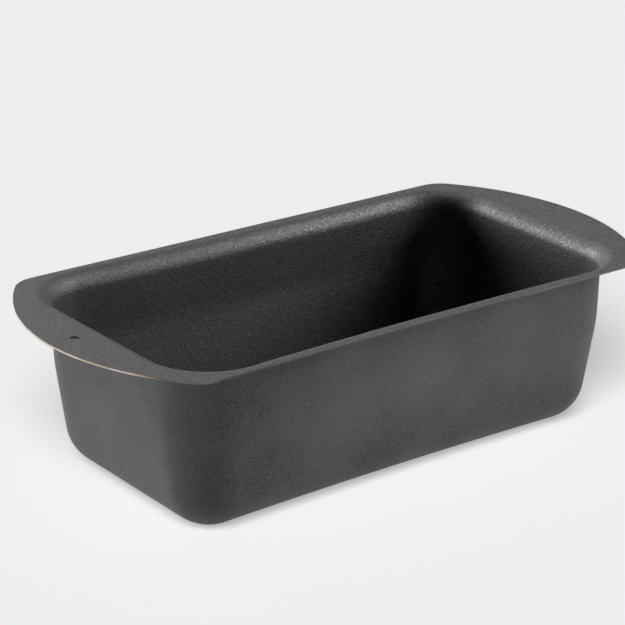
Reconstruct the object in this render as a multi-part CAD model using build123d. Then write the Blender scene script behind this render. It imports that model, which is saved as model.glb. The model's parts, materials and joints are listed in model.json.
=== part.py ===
from build123d import *
from math import asin, cos, degrees, radians, sqrt, tan
import os

# A loaf pan pressed from one sheet of coated steel: a tapered bowl with a rolled rim, a narrow
# flange along the long sides and a crescent tab at each end. Millimetres and degrees. The origin
# is under the middle of the floor, +X runs along the pan and +Z points up out of the bowl.

# Sheet
STEEL = 0.7
FILM = 0.05
SHEET = STEEL + 2 * FILM

# Overall size and the trimmed outline of the flange
HEIGHT = 73.2
LENGTH = 267.6
WIDTH = 130.0
TAB_RADIUS = 96.1
OUTLINE_CORNER = 13.0

# Opening, measured where the inner wall would meet the top of the flange
OPENING_LENGTH = 216.0
OPENING_WIDTH = 112.2
OPENING_CORNER = 23.0
SIDE_BOW = 1.6

# Section through the wall, as radii on the inner face
RIM_ROLL = 7.0
UPPER_DRAFT = 0.8
LOWER_DRAFT = 8.2
BEND_DROP = 27.8
BEND_RADIUS = 60.0
FLOOR_FILLET = 17.5

# Hanging hole in the left tab
HOLE_DIAMETER = 3.8
HOLE_X = -122.8

# The long sides bow in towards the middle on a large arc, tangent to the corners.
corner_x = OPENING_LENGTH / 2 - OPENING_CORNER
bow_radius = (corner_x**2 + SIDE_BOW**2) / (2 * SIDE_BOW)
bow_y = OPENING_WIDTH / 2 - SIDE_BOW + bow_radius
corner_reach = bow_radius + OPENING_CORNER
corner_y = bow_y - sqrt(corner_reach**2 - corner_x**2)
bow_angle = degrees(asin(corner_x / corner_reach))

# The flange is pressed wider than its outline and then trimmed.
BLANK_MARGIN = 40.0


def profile(depth, place):
    """Line of the face that lies `depth` inside the sheet, from the flange to the floor.

    `place` turns an inset from the edge of the opening into the distance along the section.
    """
    upper = radians(UPPER_DRAFT)
    lower = radians(LOWER_DRAFT)
    flange = HEIGHT - depth
    floor = SHEET - depth
    shift = (1 / cos(upper) - 1 / cos(lower)) / (tan(upper) - tan(lower))
    bend = BEND_DROP + depth * shift
    rim_inset = depth * (tan(upper) - 1 / cos(upper))
    bend_inset = bend * tan(upper) - depth / cos(upper)
    floor_inset = bend_inset + (HEIGHT - bend - floor) * tan(lower)
    return FilletPolyline(
        (place(-BLANK_MARGIN), flange),
        (place(rim_inset), flange),
        (place(bend_inset), HEIGHT - bend),
        (place(floor_inset), floor),
        (place(OPENING_CORNER), floor),
        radius=(RIM_ROLL - depth, BEND_RADIUS + depth, FLOOR_FILLET + depth),
    )


def section(top, under, place):
    """Upright face between two depths of the sheet, in the XZ plane."""
    upper_line = profile(top, place)
    lower_line = profile(under, place)
    ends = [Line(upper_line @ k, lower_line @ k) for k in (0, 1)]
    return Plane.XZ * make_face([upper_line, lower_line, *ends])


def corner(top, under):
    face = section(top, under, lambda inset: OPENING_CORNER - inset)
    axis = Axis((corner_x, corner_y, 0), (0, 0, 1))
    return revolve(Pos(corner_x, corner_y) * face, axis, revolution_arc=90 + bow_angle)


def half_side(top, under):
    face = section(top, under, lambda inset: bow_radius + inset)
    axis = Axis((0, bow_y, 0), (0, 0, 1))
    return revolve(Pos(0, bow_y) * Rot(0, 0, -90) * face, axis, revolution_arc=bow_angle)


def half_end(top, under):
    face = section(top, under, lambda inset: OPENING_LENGTH / 2 - inset)
    return extrude(face, corner_y, dir=(0, 1, 0))


def quarter_floor(top, under):
    plan = Rectangle(corner_x, corner_y, align=(Align.MIN, Align.MIN))
    plan -= Pos(0, bow_y) * Circle(corner_reach)
    return extrude(Pos(0, 0, SHEET - under) * plan, under - top)


def outline():
    """Flange outline: straight long sides, an arc round each tab, eased corners."""
    tab_centres = LENGTH - 2 * TAB_RADIUS
    plan = SlotCenterToCenter(tab_centres, 2 * TAB_RADIUS) & Rectangle(LENGTH, WIDTH)
    return fillet(plan.vertices(), OUTLINE_CORNER)


def layer(top, under):
    """One layer of the sheet, from `top` to `under` below its upper face."""
    quarter = corner(top, under) + half_side(top, under)
    quarter += half_end(top, under) + quarter_floor(top, under)
    half = quarter + mirror(quarter, Plane.YZ)
    pressed = half + mirror(half, Plane.XZ)
    trimmed = pressed & extrude(outline(), HEIGHT)
    hole = Pos(HOLE_X, 0, HEIGHT) * Cylinder(HOLE_DIAMETER / 2, 4 * SHEET)
    return trimmed - hole


parts = {
    "inner_coating": layer(0, FILM),
    "steel_shell": layer(FILM, FILM + STEEL),
    "outer_coating": layer(FILM + STEEL, SHEET),
}

os.makedirs("parts", exist_ok=True)
for name, shape in parts.items():
    shape.label = name
    export_step(shape, f"parts/{name}.step")
    print(name, "volume", round(shape.volume), "size", shape.bounding_box().size)
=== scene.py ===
# %% [markdown]
# # A pressed loaf pan
#
# The pan is one sheet of steel, coated on both faces, pressed into a bowl and trimmed. This lesson
# builds it the way it is made: one cross-section carried round the opening, then a trimmed
# flange, then three layers laid on each other: the film inside, the steel and the coat outside.
# Everything is in metres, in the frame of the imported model, and each new layer stands in for the
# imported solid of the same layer.

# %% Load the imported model
import json
import math

import bmesh
import bpy
from mathutils import Matrix, Vector, noise


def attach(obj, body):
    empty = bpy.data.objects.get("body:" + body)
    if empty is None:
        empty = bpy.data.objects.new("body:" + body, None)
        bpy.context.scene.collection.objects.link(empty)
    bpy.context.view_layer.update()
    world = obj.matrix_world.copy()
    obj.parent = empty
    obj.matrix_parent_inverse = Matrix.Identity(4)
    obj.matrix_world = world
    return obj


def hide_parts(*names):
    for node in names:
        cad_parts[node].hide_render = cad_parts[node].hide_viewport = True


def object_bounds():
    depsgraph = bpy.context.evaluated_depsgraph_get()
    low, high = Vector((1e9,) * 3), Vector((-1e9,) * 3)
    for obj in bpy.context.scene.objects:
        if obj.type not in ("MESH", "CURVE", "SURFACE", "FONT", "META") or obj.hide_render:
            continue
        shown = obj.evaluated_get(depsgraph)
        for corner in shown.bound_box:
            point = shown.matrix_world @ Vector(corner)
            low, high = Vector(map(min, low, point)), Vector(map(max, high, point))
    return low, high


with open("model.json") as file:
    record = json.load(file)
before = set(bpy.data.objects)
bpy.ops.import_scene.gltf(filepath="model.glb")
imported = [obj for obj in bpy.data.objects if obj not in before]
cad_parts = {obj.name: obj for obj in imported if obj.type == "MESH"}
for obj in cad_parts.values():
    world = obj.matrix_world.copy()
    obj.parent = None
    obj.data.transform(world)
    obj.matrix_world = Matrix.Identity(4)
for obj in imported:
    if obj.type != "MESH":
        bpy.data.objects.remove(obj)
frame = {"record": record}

cad_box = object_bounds()
print("the packed pan reaches from", tuple(cad_box[0]), "to", tuple(cad_box[1]))

# %% [markdown]
# The overall length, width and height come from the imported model's own box, and so does the place
# of the hanging hole, which is a mount in its record. The radii and drafts are the tool's own
# dimensions. The wall isn't one straight taper: its upper part is nearly upright and its lower
# part leans in, with a long soft bend between them, which is how a two-stage draw leaves it.

# %% Dimensions
MM = 0.001
high = cad_box[1]
HALF_LENGTH = high.x
HALF_WIDTH = high.y
HEIGHT = high.z

FILM = 0.05 * MM
STEEL = 0.7 * MM
SHEET = STEEL + 2 * FILM

TAB_RADIUS = 96.1 * MM
OUTLINE_CORNER = 13.0 * MM

OPENING_HALF_LENGTH = 108.0 * MM
OPENING_HALF_WIDTH = 56.1 * MM
OPENING_CORNER = 23.0 * MM
SIDE_BOW = 1.6 * MM

RIM_ROLL = 7.0 * MM
UPPER_DRAFT = math.radians(0.8)
LOWER_DRAFT = math.radians(8.2)
BEND_DROP = 27.8 * MM
BEND_RADIUS = 60.0 * MM
FLOOR_FILLET = 17.5 * MM

hole = next(m for m in frame["record"]["mounts"] if m["name"] == "hanging_hole")
HOLE_CENTRE = Vector((hole["pos_m"][0], hole["pos_m"][1], 0))
HOLE_RADIUS = hole["dims"]["r_mm"] * MM
print("hanging hole of", round(2 * HOLE_RADIUS / MM, 2), "mm at", tuple(HOLE_CENTRE))

# %% [markdown]
# Seen from above, the long sides of the opening aren't straight: they lean in towards the middle,
# as the walls of a drawn pan do when the press lets go. A very large arc, tangent to the two
# corner arcs, gives that, and its centre lies far outside the pan.

# %% Plan of the opening
corner_x = OPENING_HALF_LENGTH - OPENING_CORNER
bow_radius = (corner_x**2 + SIDE_BOW**2) / (2 * SIDE_BOW)
bow_y = OPENING_HALF_WIDTH - SIDE_BOW + bow_radius
corner_reach = bow_radius + OPENING_CORNER
corner_y = bow_y - math.sqrt(corner_reach**2 - corner_x**2)
bow_angle = math.asin(corner_x / corner_reach)
UP = Vector((0, 0, 1))
corner_centre = Vector((corner_x, corner_y, 0))
bow_centre = Vector((0, bow_y, 0))
print("corner centre", tuple(corner_centre), "bow radius", round(bow_radius, 3))

# %% [markdown]
# The trimmed outline has a tab arc, an eased corner and a straight side in each quarter. The
# eased corner touches the arc from inside, so its centre lies on a circle about the tab's centre.

# %% Plan of the outline
tab_centre = Vector((HALF_LENGTH - TAB_RADIUS, 0, 0))
ease_y = HALF_WIDTH - OUTLINE_CORNER
ease_x = tab_centre.x + math.sqrt((TAB_RADIUS - OUTLINE_CORNER) ** 2 - ease_y**2)
ease_centre = Vector((ease_x, ease_y, 0))
tab_angle = math.atan2(ease_centre.y, ease_centre.x - tab_centre.x)
print("tab arc spans", round(math.degrees(tab_angle), 1), "degrees each side of its tip")

# %% [markdown]
# How finely each stretch is divided. The outline and the opening get the same number of steps
# in a quarter, so that the flange between them is a net of four-sided faces.

# %% Steps
END_STEPS, CORNER_STEPS, SIDE_STEPS = 12, 22, 20
TAB_STEPS, EASE_STEPS = 26, 8
STRAIGHT_STEPS = END_STEPS + CORNER_STEPS + SIDE_STEPS - TAB_STEPS - EASE_STEPS
FLANGE_RINGS = 6
ROLL_STEPS, BEND_STEPS, FILLET_STEPS = 14, 5, 16
WALL_STEP = 3.0 * MM
TINY = 0.01 * MM
print("a quarter of the plan has", END_STEPS + CORNER_STEPS + SIDE_STEPS, "steps, of which",
      STRAIGHT_STEPS, "lie along the straight edge of the outline")

# %% [markdown]
# The cross-section starts as five points where its straight runs would meet: flange, rim, bend,
# floor and the end on the floor. Bevelling the three middle points turns them into arcs. A bevel
# is asked for by how far it cuts back along each side, which is the radius times the tangent of
# half the turn. The same function gives the face of any layer, by its depth below the top: the
# roll tightens and the floor's fillet widens by that depth, so the sheet keeps its thickness.


# %% Cross-section of one face of the sheet
def meeting_points(depth):
    """Insets from the opening's edge and heights of the five points, at one depth in the sheet."""
    upper, lower = math.tan(UPPER_DRAFT), math.tan(LOWER_DRAFT)
    shift = (1 / math.cos(UPPER_DRAFT) - 1 / math.cos(LOWER_DRAFT)) / (upper - lower)
    bend = BEND_DROP + depth * shift
    floor = SHEET - depth
    rim_inset = depth * (upper - 1 / math.cos(UPPER_DRAFT))
    bend_inset = bend * upper - depth / math.cos(UPPER_DRAFT)
    floor_inset = bend_inset + (HEIGHT - bend - floor) * lower
    return [
        (rim_inset - RIM_ROLL, HEIGHT - depth),
        (rim_inset, HEIGHT - depth),
        (bend_inset, HEIGHT - bend),
        (floor_inset, floor),
        (OPENING_CORNER, floor),
    ]


def draw_section(bm, depth):
    """Adds the section of one face in the plane y = 0, from the start of the roll to the floor."""
    points = [Vector((OPENING_HALF_LENGTH - inset, 0, z)) for inset, z in meeting_points(depth)]
    verts = [bm.verts.new(p) for p in points]
    for a, b in zip(verts, verts[1:]):
        bm.edges.new((a, b))
    turns = [math.pi / 2 - UPPER_DRAFT, LOWER_DRAFT - UPPER_DRAFT, math.pi / 2 - LOWER_DRAFT]
    radii = [RIM_ROLL - depth, BEND_RADIUS + depth, FLOOR_FILLET + depth]
    steps = [ROLL_STEPS, BEND_STEPS, FILLET_STEPS]
    for vert, turn, radius, count in zip(verts[1:4], turns, radii, steps):
        bmesh.ops.bevel(bm, geom=[vert], offset=radius * math.tan(turn / 2), offset_type="OFFSET",
                        affect="VERTICES", segments=count, profile=0.5, material=-1)
    rim_start = max(v.co.x for v in bm.verts)
    flat = [v for v in bm.verts if v.co.x > rim_start - TINY]
    bmesh.ops.delete(bm, geom=flat, context="VERTS")
    for edge in [e for e in bm.edges if e.calc_length() > WALL_STEP]:
        bmesh.ops.subdivide_edges(bm, edges=[edge], cuts=int(edge.calc_length() / WALL_STEP))


trial = bmesh.new()
draw_section(trial, 0.0)
reach = sum(edge.calc_length() for edge in trial.edges)
print("the section has", len(trial.verts), "points and is", round(reach / MM, 1), "mm long")
trial.free()

# %% [markdown]
# The section is carried round a quarter of the pan in three moves: straight along half of the
# end, round the corner, and along the bowed side. The last ring lies on the floor's edge and
# closes to a point at the corner centre, where the doubled points are merged.


# %% Sweep the section round a quarter
def turn(bm, geometry, centre, angle, steps):
    """Spins the geometry about an upright axis and gives back the last copy."""
    done = bmesh.ops.spin(bm, geom=geometry, cent=centre, axis=UP, angle=angle, steps=steps)
    return done["geom_last"]


def push(bm, geometry, step, count):
    """Extrudes the geometry by one step, several times over, and gives back the last copy."""
    for _ in range(count):
        edges = [g for g in geometry if isinstance(g, bmesh.types.BMEdge)]
        loose = [g for g in geometry if isinstance(g, bmesh.types.BMVert)]
        if edges:
            geometry = bmesh.ops.extrude_edge_only(bm, edges=edges)["geom"]
            edges = [g for g in geometry if isinstance(g, bmesh.types.BMEdge)]
            moved = [g for g in geometry if isinstance(g, bmesh.types.BMVert)]
            geometry = moved + [e for e in edges if all(v in moved for v in e.verts)]
        else:
            geometry = bmesh.ops.extrude_vert_indiv(bm, verts=loose)["verts"]
            moved = geometry
        bmesh.ops.translate(bm, verts=moved, vec=step)
    return geometry


def sweep_bowl(bm, depth):
    """A quarter of the bowl, from the start of the roll to the edge of the floor's net."""
    draw_section(bm, depth)
    section = list(bm.verts) + list(bm.edges)
    section = push(bm, section, Vector((0, corner_y / END_STEPS, 0)), END_STEPS)
    section = turn(bm, section, corner_centre, math.pi / 2 + bow_angle, CORNER_STEPS)
    turn(bm, section, bow_centre, -bow_angle, SIDE_STEPS)


def sweep_outline(bm, depth):
    """A quarter of the trimmed outline, from the tip of the tab to the middle of the side."""
    tip = bm.verts.new((HALF_LENGTH, 0, HEIGHT - depth))
    wire = turn(bm, [tip], tab_centre, tab_angle, TAB_STEPS)
    wire = turn(bm, wire, ease_centre, math.pi / 2 - tab_angle, EASE_STEPS)
    push(bm, wire, Vector((-ease_centre.x / STRAIGHT_STEPS, 0, 0)), STRAIGHT_STEPS)


# %% [markdown]
# The flange is bridged from the start of the roll to the outline, and cut into rings so that it
# can carry the sheet's slight waviness. Two mirrors give the whole face. The floor is then
# filled with a net between the two long sides.


# %% One whole face of the sheet
def face_of_sheet(depth):
    """The whole face at one depth, open at the outline and closed at the floor."""
    bm = bmesh.new()
    sweep_bowl(bm, depth)
    bowl_edges = set(bm.edges)
    rim = [e for e in bm.edges if e.is_boundary
           and all(v.co.z > HEIGHT - depth - TINY for v in e.verts)]
    sweep_outline(bm, depth)
    outline_edges = [e for e in bm.edges if e not in bowl_edges]
    flange = bmesh.ops.bridge_loops(bm, edges=outline_edges + rim)
    across = [e for e in flange["edges"] if e not in outline_edges and e not in rim]
    bmesh.ops.subdivide_edges(bm, edges=across, cuts=FLANGE_RINGS - 1, use_grid_fill=True)
    bmesh.ops.remove_doubles(bm, verts=bm.verts, dist=TINY)
    for axis in ("X", "Y"):
        bmesh.ops.mirror(bm, geom=bm.verts[:] + bm.edges[:] + bm.faces[:], merge_dist=TINY,
                         axis=axis)
    floor = SHEET - depth
    sides = [e for e in bm.edges if e.is_boundary
             and all(v.co.z < floor + TINY and abs(v.co.x) < corner_x + TINY for v in e.verts)
             and abs(e.verts[0].co.x - e.verts[1].co.x) > TINY]
    bmesh.ops.grid_fill(bm, edges=sides, use_smooth=True, use_interp_simple=False)
    bmesh.ops.remove_doubles(bm, verts=bm.verts, dist=TINY)
    return bm


trial = face_of_sheet(0.0)
print("one face has", len(trial.faces), "faces and",
      len([e for e in trial.edges if e.is_boundary]), "open edges round its outline")
trial.free()

# %% [markdown]
# The pan hangs from one pierced hole in the left tab. A few faces are taken out there and the
# gap is bridged to a true circle.


# %% Pierce the hole
HOLE_CLEARANCE = 1.4 * MM
HOLE_STEPS = 32


def pierce(bm, depth):
    """Opens the round hanging hole through the net of the tab."""
    reach = HOLE_RADIUS + HOLE_CLEARANCE
    centre = HOLE_CENTRE + UP * (HEIGHT - depth)
    gone = [f for f in bm.faces if (f.calc_center_median() - centre).length < reach]
    bmesh.ops.delete(bm, geom=gone, context="FACES")
    gap = [e for e in bm.edges if e.is_boundary and (e.verts[0].co - centre).length < 2 * reach]
    ring = bmesh.ops.create_circle(bm, segments=HOLE_STEPS, radius=HOLE_RADIUS,
                                   matrix=Matrix.Translation(centre))["verts"]
    circle = list({e for v in ring for e in v.link_edges})
    bmesh.ops.bridge_loops(bm, edges=gap + circle)


# %% [markdown]
# No pressed sheet is perfectly flat. The flange dips by up to a fifth of a millimetre and the
# walls lean in by up to a quarter, in waves a few centimetres long. All three layers get the same
# waves, so they stay together, and the waves only ever go down and in.


# %% Slight waviness of the sheet
WAVES_PER_METRE = 22
WAVE_SHIFT = Vector((3, 1, 2))
WALL_WAVE = 0.25 * MM
FLANGE_WAVE = 0.2 * MM
FLANGE_UNDERSIDE = HEIGHT - SHEET


def waves(place):
    """A slow, repeatable wave between 0 and 1."""
    return 0.5 + 0.5 * noise.noise(place * WAVES_PER_METRE)


def buckle(bm):
    """Moves the walls in and the flange down by a fraction of a millimetre."""
    for vert in bm.verts:
        place = vert.co.copy()
        inward = Vector((-place.x, -2 * place.y, 0)).normalized()
        below = min(max((FLANGE_UNDERSIDE - place.z) / RIM_ROLL, 0), 1)
        wall = below * min(place.z / RIM_ROLL, 1)
        vert.co += inward * wall * WALL_WAVE * waves(place)
        vert.co -= UP * (1 - below) * FLANGE_WAVE * waves(place + WAVE_SHIFT)


print("the flange dips by up to", round(FLANGE_WAVE / MM, 2), "mm and the walls lean in by up to",
      round(WALL_WAVE / MM, 2), "mm")

# %% [markdown]
# A layer is two such faces, one above the other, joined round the outline and round the hole, so
# each is a closed skin. The sheared edges stay crisp and everything else is shaded smooth.


# %% Make one layer
SHARP = math.radians(35)


def layer(name, top, under):
    """A closed layer of the sheet between two depths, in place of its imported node."""
    bm = bmesh.new()
    for depth in (top, under):
        face = face_of_sheet(depth)
        pierce(face, depth)
        mesh = bpy.data.meshes.new("spare")
        face.to_mesh(mesh)
        face.free()
        bm.from_mesh(mesh)
        bpy.data.meshes.remove(mesh)
    rims = [e for e in bm.edges if e.is_boundary]
    near_hole = HOLE_RADIUS + TINY
    hole_rims = [e for e in rims if (e.verts[0].co.xy - HOLE_CENTRE.xy).length < near_hole]
    outline_rims = [e for e in rims if e not in hole_rims]
    for pair in (hole_rims, outline_rims):
        bmesh.ops.bridge_loops(bm, edges=pair)
    buckle(bm)
    bmesh.ops.recalc_face_normals(bm, faces=bm.faces)
    for edge in bm.edges:
        edge.smooth = edge.calc_face_angle(0) < SHARP
    for face in bm.faces:
        face.smooth = True
    mesh = bpy.data.meshes.new(name)
    bm.to_mesh(mesh)
    closed = all(e.is_manifold for e in bm.edges)
    volume = bm.calc_volume()
    bm.free()
    piece = bpy.data.objects.new(name, mesh)
    bpy.context.scene.collection.objects.link(piece)
    print(name, len(mesh.polygons), "faces, closed:", closed, "volume", round(volume / MM**3))
    return piece


# %% [markdown]
# Three layers make the sheet: 0.05 mm of non-stick film, 0.7 mm of steel and 0.05 mm of the coat
# outside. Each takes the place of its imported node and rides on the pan's one body.

# %% The three layers
LAYERS = {
    "inner_film": (0, FILM, "inner_coating", "nonstick_inner"),
    "steel_blank": (FILM, FILM + STEEL, "steel_shell", "bare_steel"),
    "outer_film": (FILM + STEEL, SHEET, "outer_coating", "coating_outer"),
}
pieces = {}
for name, (top, under, node, slot) in LAYERS.items():
    piece = layer(name, top, under)
    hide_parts(node)
    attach(piece, "root")
    pieces[name] = piece


# %% [markdown]
# The shader maths below is written as ordinary expressions. A small class wraps a socket, so that
# sums and products of masks make Math nodes, and any other node is asked for by its type.


# %% A small language for shaders
MIX_FIRST_COLOUR, MIX_SECOND_COLOUR, MIX_COLOUR_OUT = 6, 7, 2


class Wire:
    """A node output that can be added, multiplied and compared like a number."""

    def __init__(self, finish, socket):
        self.finish = finish
        self.socket = socket

    def math(self, operation, *others, flip=False):
        """One Math node; a flipped one has this wire as its second input."""
        values = [*others, self] if flip else [self, *others]
        return self.finish.node("ShaderNodeMath", {"operation": operation}, *values)

    def __add__(self, other):
        return self.math("ADD", other)

    def __sub__(self, other):
        return self.math("SUBTRACT", other)

    def __mul__(self, other):
        return self.math("MULTIPLY", other)

    def __radd__(self, other):
        return self.math("ADD", other, flip=True)

    def __rsub__(self, other):
        return self.math("SUBTRACT", other, flip=True)

    def __rmul__(self, other):
        return self.math("MULTIPLY", other, flip=True)

    def ramp(self, low, high, out_low=0.0, out_high=1.0):
        """Moves smoothly from out_low to out_high as the value goes from low to high."""
        settings = {"interpolation_type": "SMOOTHSTEP"}
        return self.finish.node("ShaderNodeMapRange", settings, self, low, high, out_low, out_high)


class Finish:
    """A material being built: nodes are asked for by type, settings and what feeds them."""

    def __init__(self, name):
        self.material = bpy.data.materials.new(name)
        self.material.use_nodes = True
        self.tree = self.material.node_tree
        self.tree.nodes.clear()
        self.place = self.node("ShaderNodeTexCoord", {}, out="Object")

    def node(self, kind, settings, *values, out=0, **named):
        """Any node: its settings first, then its inputs, by order or by name."""
        made = self.tree.nodes.new(kind)
        for key, value in settings.items():
            setattr(made, key, value)
        for socket, value in zip(made.inputs, values):
            self.feed(socket, value)
        for key, value in named.items():
            self.feed(made.inputs[key.replace("_", " ")], value)
        return Wire(self, made.outputs[out]) if made.outputs else made

    def feed(self, socket, value):
        """Links a wire to a socket, or sets a plain value on it."""
        if isinstance(value, Wire):
            self.tree.links.new(value.socket, socket)
        else:
            socket.default_value = value

    def noise(self, size, detail=2.0, roughness=0.5):
        """Smooth noise whose features are about `size` metres across."""
        return self.node("ShaderNodeTexNoise", {}, Vector=self.place, Scale=1 / size,
                         Detail=detail, Roughness=roughness)

    def cells(self, size, out="Distance"):
        """Separate cells about `size` metres apart."""
        return self.node("ShaderNodeTexVoronoi", {}, Vector=self.place, Scale=1 / size, out=out)

    def along(self, axis):
        """Where the shaded point is along one axis of the pan, in metres."""
        return self.node("ShaderNodeSeparateXYZ", {}, self.place, out=axis)

    def channel(self, colour, name):
        """One channel of a colour, by its name."""
        return self.node("ShaderNodeSeparateColor", {}, colour, out=name)

    def distance(self, centre):
        """How far the shaded point is from a fixed point of the pan."""
        return self.node("ShaderNodeVectorMath", {"operation": "DISTANCE"}, self.place,
                         tuple(centre), out="Value")

    def mix(self, mask, first, second):
        """A colour that goes from the first to the second as the mask rises."""
        mixed = self.node("ShaderNodeMix", {"data_type": "RGBA"}, mask, out=MIX_COLOUR_OUT)
        inputs = mixed.socket.node.inputs
        self.feed(inputs[MIX_FIRST_COLOUR], first)
        self.feed(inputs[MIX_SECOND_COLOUR], second)
        return mixed

    def bump(self, height, depth):
        """Relief that would be `depth` metres high where the height goes from 0 to 1."""
        return self.node("ShaderNodeBump", {}, Strength=1.0, Distance=depth, Height=height)

    def surface(self, **inputs):
        """Ends the material with one shader and gives the material back."""
        shader = self.node("ShaderNodeBsdfPrincipled", {}, **inputs)
        self.node("ShaderNodeOutputMaterial", {}, shader)
        return self.material


# %% [markdown]
# The inside carries a sprayed and baked non-stick film, dark grey and half matt. It dries into an
# orange peel of low mounds less than a millimetre apart, and the metallic flakes in it lie at all
# angles, so a few of them catch the light as sparks. On the wall that was drawn hardest the film
# has small dark pits. Heat has browned it a little on the tabs, and it is stained in three places
# on the near flange. Peel and pits are relief; flakes are spots of metal with less roughness, and a
# pit is painted as black metal so that it doesn't shine, which is painted shade in its hollow.


# %% Non-stick film inside
PEEL_SIZE = 0.8 * MM
PEEL_DEPTH = 0.30 * MM
NONSTICK_IOR = 1.75
FLAKE_SIZE = 0.42 * MM
PIT_SPACING = 1.7 * MM
PITTED_PLACE = Vector((66, 53, 50)) * MM
STAINS = [Vector(place) * MM for place in ((-92, -63, 73), (-8, -62, 73), (57, -63, 73))]


def rgb(r, g, b):
    return (r, g, b, 1.0)


def nonstick():
    f = Finish("nonstick_finish")
    x = f.along("X")
    peel = f.noise(PEEL_SIZE, detail=2.5, roughness=0.6)
    mounds = f.noise(3 * PEEL_SIZE, detail=1.0)
    grain = peel.ramp(0.36, 0.64)
    # Painted sheen: towards +X the flakes sparkle more and the film is less rough, so the
    # highlights brighten towards the right as under a nearer light.
    painted_sheen_right = x.ramp(-60 * MM, 80 * MM)
    spark = f.channel(f.cells(FLAKE_SIZE, out="Color"), "Red").ramp(0.72, 1.0)
    spark = spark * peel.ramp(0.42, 0.62) * (0.5 + painted_sheen_right * 0.5)
    cloud = f.noise(28 * MM, detail=3.0, roughness=0.55)
    deep = 1 - f.distance(PITTED_PLACE).ramp(8 * MM, 38 * MM)
    pit_and_shade = 1 - f.cells(PIT_SPACING).ramp(0.14, 0.34)
    pit_and_shade = pit_and_shade * f.noise(4 * MM).ramp(0.38, 0.5) * (0.12 + 0.88 * deep)
    tab = x.math("ABSOLUTE").ramp(104 * MM, 122 * MM)
    heat = tab * f.noise(14 * MM, detail=3.0).ramp(0.42, 0.7)
    for place in STAINS:
        stain = 1 - f.distance(place).ramp(1.5 * MM, 6 * MM)
        heat = heat.math("MAXIMUM", stain * mounds.ramp(0.3, 0.6))
    colour = f.mix(cloud.ramp(0.3, 0.7), rgb(0.0125, 0.0125, 0.0130), rgb(0.020, 0.0195, 0.019))
    colour = f.mix(1 - grain, colour, rgb(0.007, 0.007, 0.0075))
    colour = f.mix(heat * 0.4, colour, rgb(0.046, 0.024, 0.016))
    colour = f.mix(spark, colour, rgb(0.20, 0.195, 0.19))
    # Painted shade: each pit is painted near black, for the shade in its hollow.
    colour = f.mix(pit_and_shade, colour, rgb(0.001, 0.001, 0.001))
    rough = 0.57 + (cloud - 0.5) * 0.10 + (0.5 - grain) * 0.10 - painted_sheen_right * 0.06
    rough = rough - spark * 0.16 + pit_and_shade * 0.25
    height = peel * 0.6 + mounds * 0.4 - pit_and_shade * 0.3
    return f.surface(Base_Color=colour, IOR=NONSTICK_IOR, Roughness=rough,
                     Metallic=spark * 0.55 + pit_and_shade * 0.85, Normal=f.bump(height, PEEL_DEPTH))


# %% [markdown]
# The outside has a thinner coat that is baked dull. It is finely mottled and a touch cloudy where
# the spray overlapped. Its colour also carries painted light and shade: it is painted paler on the
# end under the hanging tab and over the upper middle of the long sides, where the light falls on
# them, and painted darkest low down, where shade falls near the board.


# %% Coat outside
MOTTLE_SIZE = 0.9 * MM
MOTTLE_DEPTH = 0.16 * MM
OUTER_IOR = 1.35
SPECK_SIZE = 0.5 * MM


def outer_coat():
    f = Finish("outer_finish")
    x, z = f.along("X"), f.along("Z")
    mottle = f.noise(MOTTLE_SIZE, detail=3.0, roughness=0.65)
    cloud = f.noise(30 * MM, detail=3.0, roughness=0.5)
    speck = f.channel(f.cells(SPECK_SIZE, out="Color"), "Red").ramp(0.8, 1.0)
    # Painted light and shade: the coat is paler higher up, towards +X and on the end under the
    # hanging tab, and darker low down.
    painted_light_and_shade = x.ramp(-80 * MM, 0) * z.ramp(4 * MM, 44 * MM)
    painted_light_and_shade = painted_light_and_shade.math("MAXIMUM", 1 - x.ramp(-106 * MM, -92 * MM))
    tone = mottle.ramp(0.3, 0.7) * 0.36 + cloud.ramp(0.3, 0.7) * 0.2 + painted_light_and_shade * 0.35
    colour = f.mix(tone, rgb(0.024, 0.0245, 0.0255), rgb(0.114, 0.115, 0.118))
    colour = f.mix(speck * 0.3, colour, rgb(0.11, 0.105, 0.10))
    height = mottle * 0.7 + f.noise(0.4 * MM) * 0.3
    return f.surface(Base_Color=colour, IOR=OUTER_IOR, Roughness=0.70 + (mottle - 0.5) * 0.2,
                     Normal=f.bump(height, MOTTLE_DEPTH))


# %% [markdown]
# Shearing the blank leaves its edge bare. On the hanging tab the steel there shows as a thin bright
# line, tarnished from a pinkish white to straw yellow. Where the edge shows bare follows where the
# light catches it: bare steel is painted on the hanging tab and a little towards the right end, and
# along the rest of the long sides the edge is painted dark, as painted shade. The coat has run into
# the hole and covered its wall, which is painted near black as painted shade in the hole.


# %% Bare steel at the sheared edge
def steel():
    f = Finish("steel_finish")
    x = f.along("X")
    grain = f.noise(0.6 * MM, detail=3.0)
    tarnish = f.noise(11 * MM, detail=2.0)
    # Painted light: the edge is painted bare and bright on the hanging tab and a little towards the
    # right end, where the light catches it.
    left = x.ramp(-124 * MM, -118 * MM, 1.0, 0.28) * x.ramp(-108 * MM, -100 * MM, 1.0, 0.0)
    right = x.ramp(30 * MM, 60 * MM) * 0.2
    outer = f.distance(HOLE_CENTRE + UP * HEIGHT).ramp(3 * MM, 5 * MM)
    bare_where_lit = left.math("MAXIMUM", right) * outer * grain.ramp(0.25, 0.5, 0.6, 1.0)
    colour = f.mix(tarnish.ramp(0.35, 0.65), rgb(0.66, 0.57, 0.55), rgb(0.52, 0.43, 0.32))
    # Painted shade: the rest of the edge is painted dark, and the wall of the hole near black.
    coat_and_painted_shade = f.mix(outer, rgb(0.006, 0.006, 0.006), rgb(0.035, 0.033, 0.032))
    return f.surface(Base_Color=f.mix(bare_where_lit, coat_and_painted_shade, colour), Metallic=bare_where_lit,
                     Roughness=0.6 - bare_where_lit * 0.2 + grain * 0.1)


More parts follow.
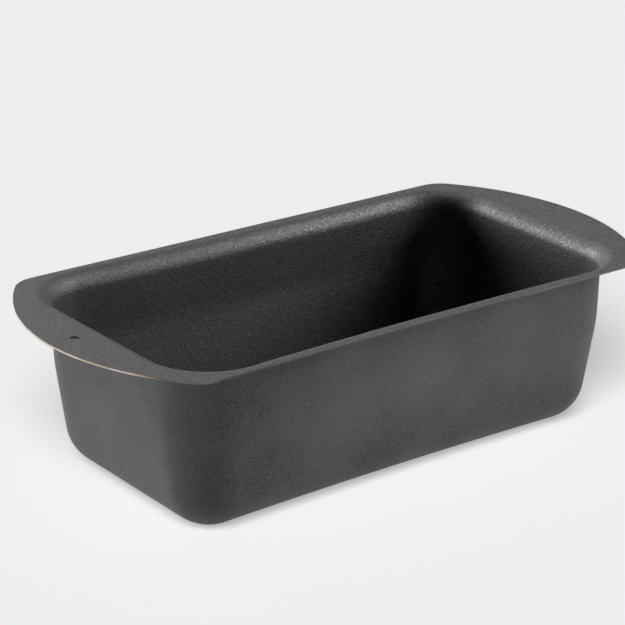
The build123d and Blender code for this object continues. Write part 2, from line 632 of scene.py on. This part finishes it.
for name, make in (("inner_film", nonstick), ("outer_film", outer_coat), ("steel_blank", steel)):
    pieces[name].data.materials.append(make())
    print(name, "wears", pieces[name].data.materials[0].name)

# %% [markdown]
# The pan stands on a large matt board, near white, with a barely visible tooth. The board is a
# sheet of translucent plastic lit from below as well as from above, so shadows on it stay pale.
# A tall pale backdrop stands far behind it on all sides. The backdrop is there to be seen past
# the edge of the board from low angles, so it neither lights the pan nor shows in it.


# %% Board and backdrop
FLOOR_HALF = 6.0
BOARD_GLOW = 0.40
BACKDROP_SIDES = 96


def board_finish():
    f = Finish("pale_floor")
    tooth = f.noise(40 * MM, detail=3.0)
    return f.surface(Base_Color=f.mix(tooth, rgb(0.89, 0.89, 0.895), rgb(0.91, 0.91, 0.915)),
                     Roughness=0.9, Emission_Color=rgb(1, 1, 1), Emission_Strength=BOARD_GLOW)


def backdrop_finish():
    f = Finish("pale_backdrop")
    fold = f.noise(900 * MM, detail=2.0)
    glow = f.mix(fold, rgb(0.86, 0.86, 0.865), rgb(0.89, 0.89, 0.895))
    return f.surface(Base_Color=rgb(0, 0, 0), Roughness=1.0, Emission_Color=glow,
                     Emission_Strength=1.0)


def stage_piece(name, bm, finish):
    """Turns a net into a smooth-shaded object that isn't part of the pan."""
    for face in bm.faces:
        face.smooth = True
    mesh = bpy.data.meshes.new(name)
    bm.to_mesh(mesh)
    bm.free()
    mesh.materials.append(finish)
    piece = bpy.data.objects.new(name, mesh)
    bpy.context.scene.collection.objects.link(piece)
    return piece


board_net = bmesh.new()
bmesh.ops.create_grid(board_net, x_segments=1, y_segments=1, size=FLOOR_HALF)
floor = stage_piece("floor", board_net, board_finish())

backdrop_net = bmesh.new()
bmesh.ops.create_cone(backdrop_net, cap_ends=False, segments=BACKDROP_SIDES,
                      radius1=FLOOR_HALF, radius2=FLOOR_HALF, depth=2 * FLOOR_HALF)
backdrop = stage_piece("backdrop", backdrop_net, backdrop_finish())
backdrop.visible_diffuse = False
backdrop.visible_glossy = False
backdrop.visible_shadow = False
print("the board is", 2 * FLOOR_HALF, "m across")

# %% [markdown]
# The camera looks at the near left corner of the pan from a little above, through a long lens, so
# the long sides hardly converge. Its place is worked out from the point it looks at, and it leans
# by less than a degree.

# %% Camera
CAMERA_AZIMUTH, CAMERA_ELEVATION = math.radians(-37.763), math.radians(21.189)
CAMERA_ROLL = math.radians(0.6997)
CAMERA_TARGET = Vector((-6.377, 4.940, 55.320)) * MM
CAMERA_DISTANCE = 964.709 * MM
CAMERA_LENS = 136.559
SENSOR_WIDTH = 36
CAMERA_NEAR = 0.05


def direction(azimuth, elevation):
    """Unit vector from the pan towards something seen in that direction."""
    return Vector((math.sin(azimuth) * math.cos(elevation),
                   -math.cos(azimuth) * math.cos(elevation), math.sin(elevation)))


back = direction(CAMERA_AZIMUTH, CAMERA_ELEVATION)
right = UP.cross(back).normalized()
up = back.cross(right)
camera_x = right * math.cos(CAMERA_ROLL) + up * math.sin(CAMERA_ROLL)
camera_y = up * math.cos(CAMERA_ROLL) - right * math.sin(CAMERA_ROLL)
camera_turn = Matrix((camera_x, camera_y, back)).transposed().to_4x4()
camera_data = bpy.data.cameras.new("camera")
camera_data.sensor_width = SENSOR_WIDTH
camera_data.lens = CAMERA_LENS
camera_data.clip_start = CAMERA_NEAR
camera = bpy.data.objects.new("camera", camera_data)
camera.matrix_world = Matrix.Translation(CAMERA_TARGET + back * CAMERA_DISTANCE) @ camera_turn
bpy.context.scene.collection.objects.link(camera)
bpy.context.scene.camera = camera
print("the camera stands at", tuple(round(v, 3) for v in camera.location))

# %% [markdown]
# A dark coat shows little but the reflections in its roll and its walls, so the lights matter as
# much as the finish. Broad soft boxes stand behind the pan on the left and to its right, and the
# side towards the camera is left dark, which is why the far right corner of the bowl goes black.
# The board has its own broad light from the camera's side, as a studio lights a background
# apart, so that its shadow is short and falls behind the pan. Each light is given by its
# azimuth, elevation and apparent width in degrees, and its strength.

# %% Lights
PAN_LIGHTS = [
    (206, 25, 24, 1.62),
    (51, 25, 24, 1.51),
    (72, 48, 28, 1.27),
    (220, 8, 20, 1.00),
    (200, 8, 20, 0.87),
    (180, 48, 28, 0.50),
    (77, 25, 24, 0.40),
    (240, 8, 20, 0.37),
    (180, 75, 30, 0.27),
    (20, 8, 20, 0.20),
    (154, 25, 24, 0.18),
    (129, 25, 24, 0.14),
    (160, 8, 20, 0.15),
    (180, 25, 24, 0.08),
    (108, 48, 28, 0.08),
]
BOARD_LIGHTS = [
    (314, 42, 34, 2.40),
]


def lit_group(name, members):
    """A collection that lights can be limited to."""
    group = bpy.data.collections.new(name)
    for member in members:
        group.objects.link(member)
    return group


def soft_lights(name, group, settings):
    """Broad distant lights that fall on one group only."""
    for number, (around, above, spread, strength) in enumerate(settings):
        lamp_data = bpy.data.lights.new(f"{name}_{number}", "SUN")
        lamp_data.energy = strength
        lamp_data.angle = math.radians(spread)
        lamp = bpy.data.objects.new(f"{name}_{number}", lamp_data)
        towards = direction(math.radians(around), math.radians(above))
        lamp.rotation_euler = towards.to_track_quat("Z", "Y").to_euler()
        lamp.light_linking.receiver_collection = group
        bpy.context.scene.collection.objects.link(lamp)
    print(len(settings), "lights fall on", group.name)


soft_lights("pan_light", lit_group("lit_pan", pieces.values()), PAN_LIGHTS)
soft_lights("board_light", lit_group("lit_board", [floor]), BOARD_LIGHTS)

world = bpy.data.worlds.new("studio")
bpy.context.scene.world = world
world.use_nodes = True
world.node_tree.nodes["Background"].inputs["Color"].default_value = rgb(1, 1, 1)
world.node_tree.nodes["Background"].inputs["Strength"].default_value = 0.0
bpy.context.scene.view_settings.view_transform = "Standard"
